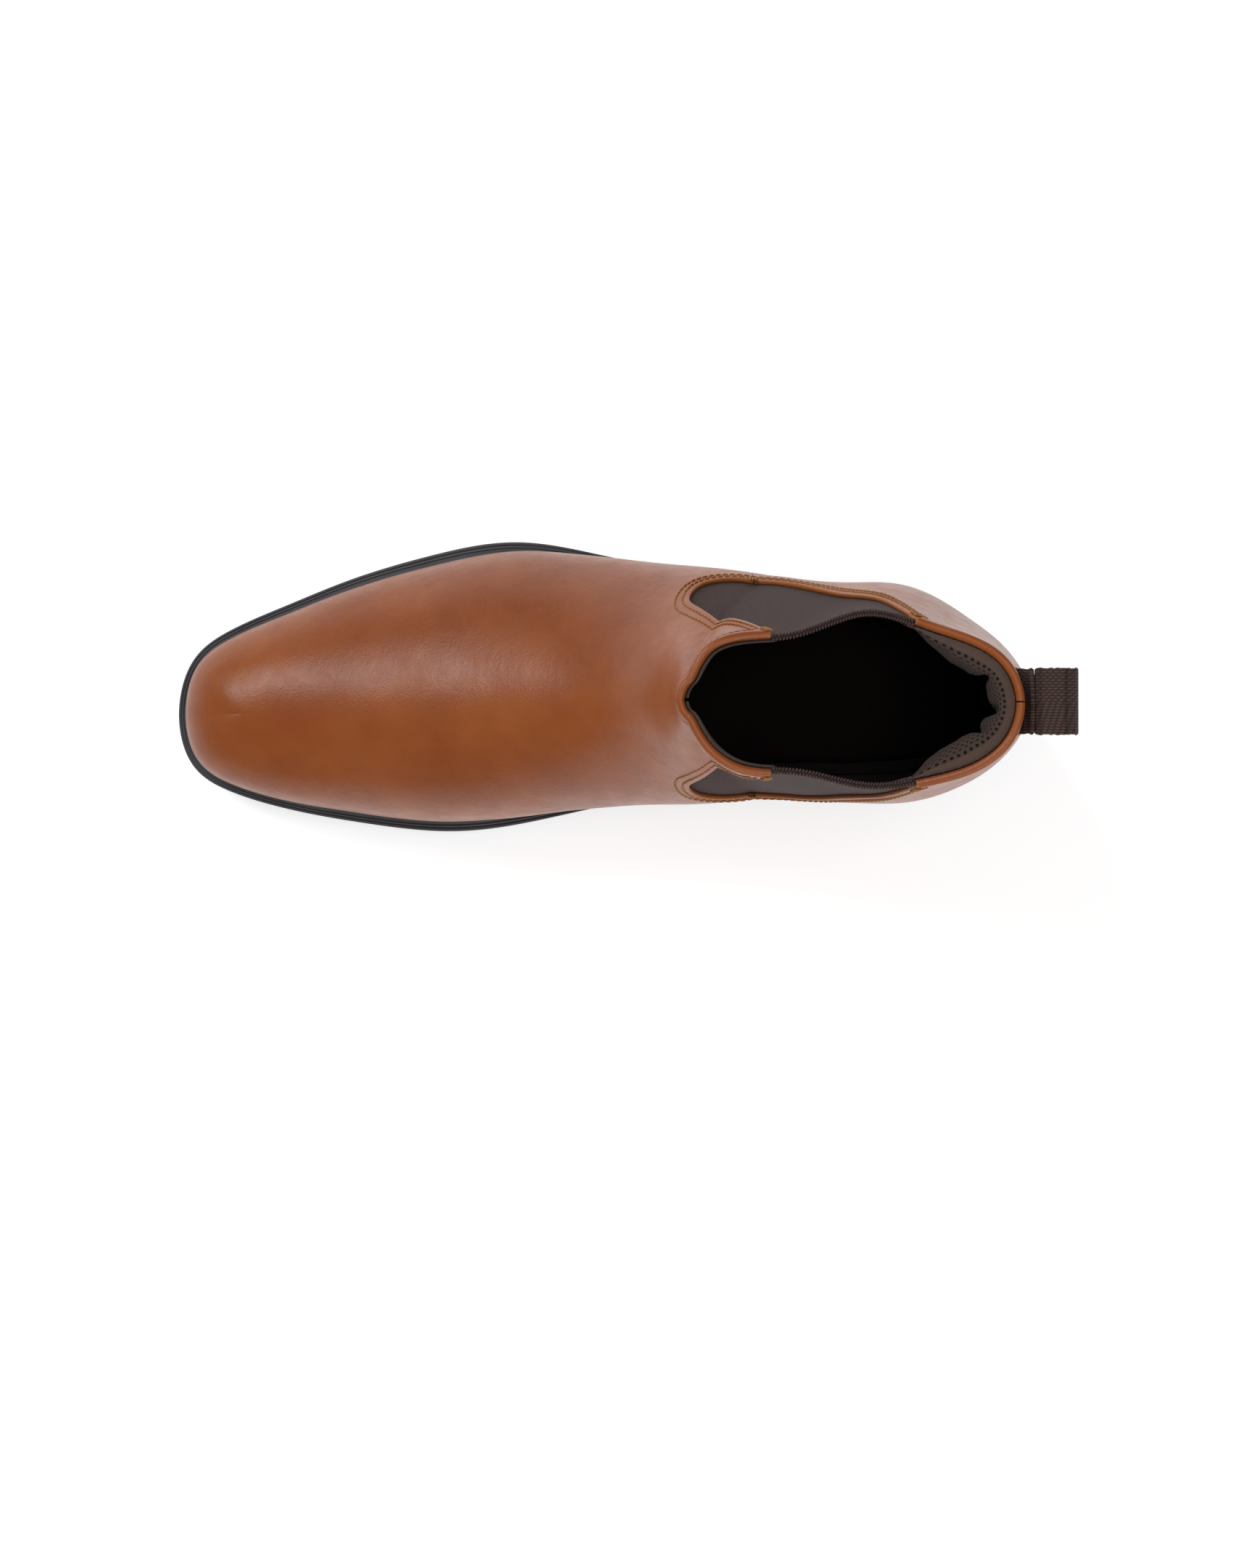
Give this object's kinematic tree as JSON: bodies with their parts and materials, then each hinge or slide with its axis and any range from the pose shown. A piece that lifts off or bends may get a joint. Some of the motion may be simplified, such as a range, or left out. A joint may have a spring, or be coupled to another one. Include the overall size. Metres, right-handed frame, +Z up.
{
  "type": "chelsea boot",
  "caption": "Ankle boot in smooth leather with elastic side gores, a padded collar, a webbing pull tab and a rubber sole with a low heel, for the right foot.",
  "frame": {"origin": "on the ground under the middle of the boot's box", "axes": "-X towards the toe, +X towards the heel, +Y towards the outer side of the right foot, +Z up"},
  "size_m": [0.3098, 0.1054, 0.1568],
  "materials": {
    "upper_leather": "polished, smooth cognac brown, darker where burnished",
    "elastic": "matt, fine ribbed knit",
    "thread": "satin",
    "stiffener": "matt",
    "tape": "matt",
    "lining": "matt, open spacer mesh",
    "foam": "matt",
    "board": "matt, pressed fibre",
    "footbed_foam": "matt",
    "sock_leather": "matt",
    "steel": "plain",
    "cork": "matt, granular",
    "sole_rubber": "satin",
    "webbing": "matt, twill weave"
  },
  "bodies": {
    "boot": {"vamp": "upper_leather", "quarter_outer": "upper_leather", "quarter_inner": "upper_leather", "gore_outer": "elastic", "gore_inner": "elastic", "gore_binding_outer": "elastic", "gore_binding_inner": "elastic", "gore_stitches_outer_1": "thread", "gore_stitches_outer_2": "thread", "gore_stitches_inner_1": "thread", "gore_stitches_inner_2": "thread", "toe_puff": "stiffener", "heel_counter": "stiffener", "collar_tape_front": "tape", "collar_tape_back": "tape", "vamp_lining": "lining", "quarter_lining": "lining", "collar_padding": "foam", "insole_board": "board", "footbed": "footbed_foam", "sock": "sock_leather", "shank": "steel", "filler": "cork", "welt": "sole_rubber", "midsole": "sole_rubber", "outsole": "sole_rubber", "heel_block": "sole_rubber", "heel_top_piece": "sole_rubber", "heel_nail_1": "steel", "heel_nail_2": "steel", "heel_nail_3": "steel", "heel_nail_4": "steel", "heel_nail_5": "steel", "pull_tab_anchor": "webbing"},
    "tab": {"pull_tab": "webbing"}
  },
  "joints": [
    {"name": "pull_tab_swing", "type": "hinge", "parent": "boot", "child": "tab", "pos_m": [0.14225, -0.00475, 0.15], "axis": [0, 1, 0], "range_deg": [-50, 50]}
  ]
}
